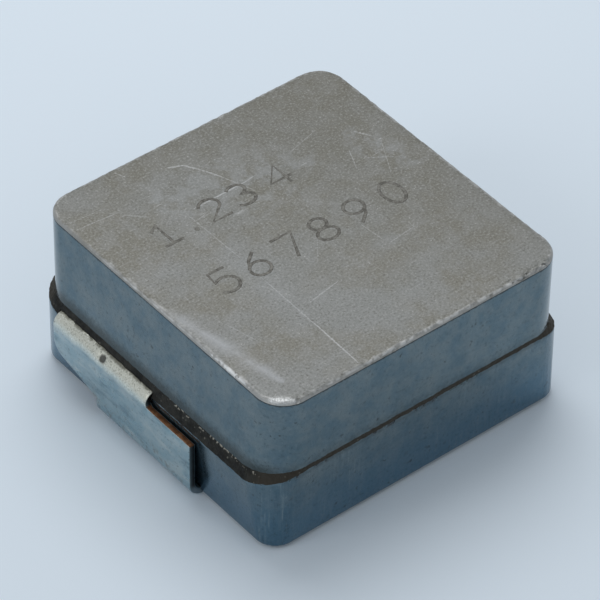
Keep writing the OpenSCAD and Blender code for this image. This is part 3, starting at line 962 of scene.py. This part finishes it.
def dent(place, handled):
    """Sinking of a terminal's outer face in millimetres: hammered waves, a crease and a pit."""
    shift = 0.009 * noise.noise(place * 0.9) + 0.004 * noise.noise(place * 2.6)
    if handled:
        along = max(0.0, min(1.0, (place.y + 0.3) / 0.8)) * max(0.0, min(1.0, (4.1 - place.y) / 0.9))
        level = 2.27 + 0.02 * math.sin(place.y * 1.7)
        shift -= 0.034 * along * math.exp(-((place.z - level) / 0.07) ** 2)
        shift += 0.018 * along * math.exp(-((place.z - level - 0.14) / 0.08) ** 2)
        ring = math.hypot((place.y - PIT[0]) / 0.13, (place.z - PIT[1]) / 0.1)
        shift -= 0.05 * max(0.0, min(1.0, (1.1 - ring) / 0.3))
    return shift


# --- marked figures ------------------------------------------------------------------

# Width of a marked line, and how far its round section is flattened
MARK_LINE = 0.12
MARK_FLAT = 0.03
# Rows of plain figures: figures, left edges, width, foot and height
MARKED_ROWS = (
    ("1.234", (-4.2, -3.2, -2.15, -0.95, 0.6), 0.92, 2.1, 1.07),
    ("567890", (-4.05, -2.75, -1.3, 0.1, 1.6, 3.1), 0.95, -1.0, 1.15),
)


def arc(x, y, wide, high, start, end, count=14):
    """Points on an ellipse from one angle to another, in degrees."""
    angles = [math.radians(start + (end - start) * i / count) for i in range(count + 1)]
    return [(x + wide * math.cos(a), y + high * math.sin(a)) for a in angles]


# Strokes of each figure, in a square one unit wide and high
FIGURES = {
    "0": [arc(0.5, 0.5, 0.4, 0.5, 0, 360, 24)],
    "1": [[(0.12, 0.78), (0.5, 1), (0.5, 0)], [(0.1, 0), (0.92, 0)]],
    "2": [arc(0.48, 0.7, 0.42, 0.3, 165, -35) + [(0.05, 0), (0.95, 0)]],
    "3": [arc(0.46, 0.76, 0.38, 0.24, 150, -90) + arc(0.46, 0.26, 0.44, 0.26, 90, -150)],
    "4": [[(0.72, 0), (0.72, 1), (0.02, 0.3), (0.98, 0.3)]],
    "5": [[(0.88, 1), (0.18, 1), (0.12, 0.56)] + arc(0.46, 0.33, 0.45, 0.33, 120, -150)],
    "6": [[(0.78, 1), (0.36, 0.72), (0.12, 0.4)] + arc(0.5, 0.3, 0.4, 0.3, 160, 520, 24)],
    "7": [[(0.05, 1), (0.97, 1), (0.4, 0)]],
    "8": [arc(0.5, 0.76, 0.34, 0.24, -90, 270, 20), arc(0.5, 0.26, 0.42, 0.26, 90, 450, 20)],
    "9": [arc(0.5, 0.7, 0.4, 0.3, -20, 340, 24) + [(0.88, 0.6), (0.64, 0.28), (0.22, 0)]],
    ".": [arc(0.5, 0.06, 0.035, 0.035, 0, 360, 8)],
}


def mark_figures(name, rows, line, material):
    """Plain figures as thin lines on the top face. A row gives its figures, their left
    edges, their width, the row's foot and its height."""
    curve = bpy.data.curves.new(name, "CURVE")
    curve.dimensions = "3D"
    curve.bevel_depth = line / 2 * MM
    curve.bevel_resolution = 2
    curve.use_fill_caps = True
    for text, lefts, width, y, height in rows:
        for figure, left in zip(text, lefts):
            for stroke in FIGURES[figure]:
                spline = curve.splines.new("POLY")
                if math.dist(stroke[0], stroke[-1]) < 0.001:
                    spline.use_cyclic_u = True
                    stroke = stroke[:-1]
                spline.points.add(len(stroke) - 1)
                for point, (px, py) in zip(spline.points, stroke):
                    point.co = ((left + px * width) * MM, (y + py * height) * MM, 0, 1)
    piece = bpy.data.objects.new(name, curve)
    bpy.context.scene.collection.objects.link(piece)
    choose(piece)
    bpy.ops.object.convert(target="MESH")
    piece = bpy.context.object
    for vertex in piece.data.vertices:
        vertex.co.z = vertex.co.z * MARK_FLAT + top_z * MM
    piece.data.materials.append(material)
    mesh_step(piece, lambda: bpy.ops.mesh.normals_make_consistent(inside=False))
    return piece


# --- build ---------------------------------------------------------------------------

def smooth(piece):
    """Rounds the shading, and keeps the edges over 35 degrees crisp."""
    choose(piece)
    bpy.ops.object.shade_smooth_by_angle(angle=math.radians(35))


def refinish(node, material):
    """Gives a solid of the frame a new material."""
    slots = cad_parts[node].data.materials
    slots.clear()
    slots.append(material)


def build_block():
    body = make_body(pressed_face_material(), rubbed_wall_material(), parting_step_material())
    cut_coil_space(body)
    cut_seats(body)
    drop_crumbs(body, 1.0)
    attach(body, root)
    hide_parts("moulded_body")
    smooth(body)


def build_terminals():
    """Both terminals; only the left one has been handled roughly."""
    tin, cut_edge = tin_material(), cut_edge_material()
    for node, name, handled in (("terminal_left", "folded_terminal_left", True),
                                ("terminal_right", "folded_terminal_right", False)):
        terminal = make_terminal(node, name, (tin, cut_edge), handled)
        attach(terminal, root)
        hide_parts(node)
        smooth(terminal)
        refinish(node, tin)


def build_figures():
    figures = mark_figures("marked_figures", MARKED_ROWS, MARK_LINE, marking_material())
    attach(figures, root)


make_camera()
make_light()
build_block()
build_terminals()
refinish("coil_winding", enamelled_copper_material())
build_figures()
make_floor()
bpy.context.scene.view_settings.view_transform = "Standard"
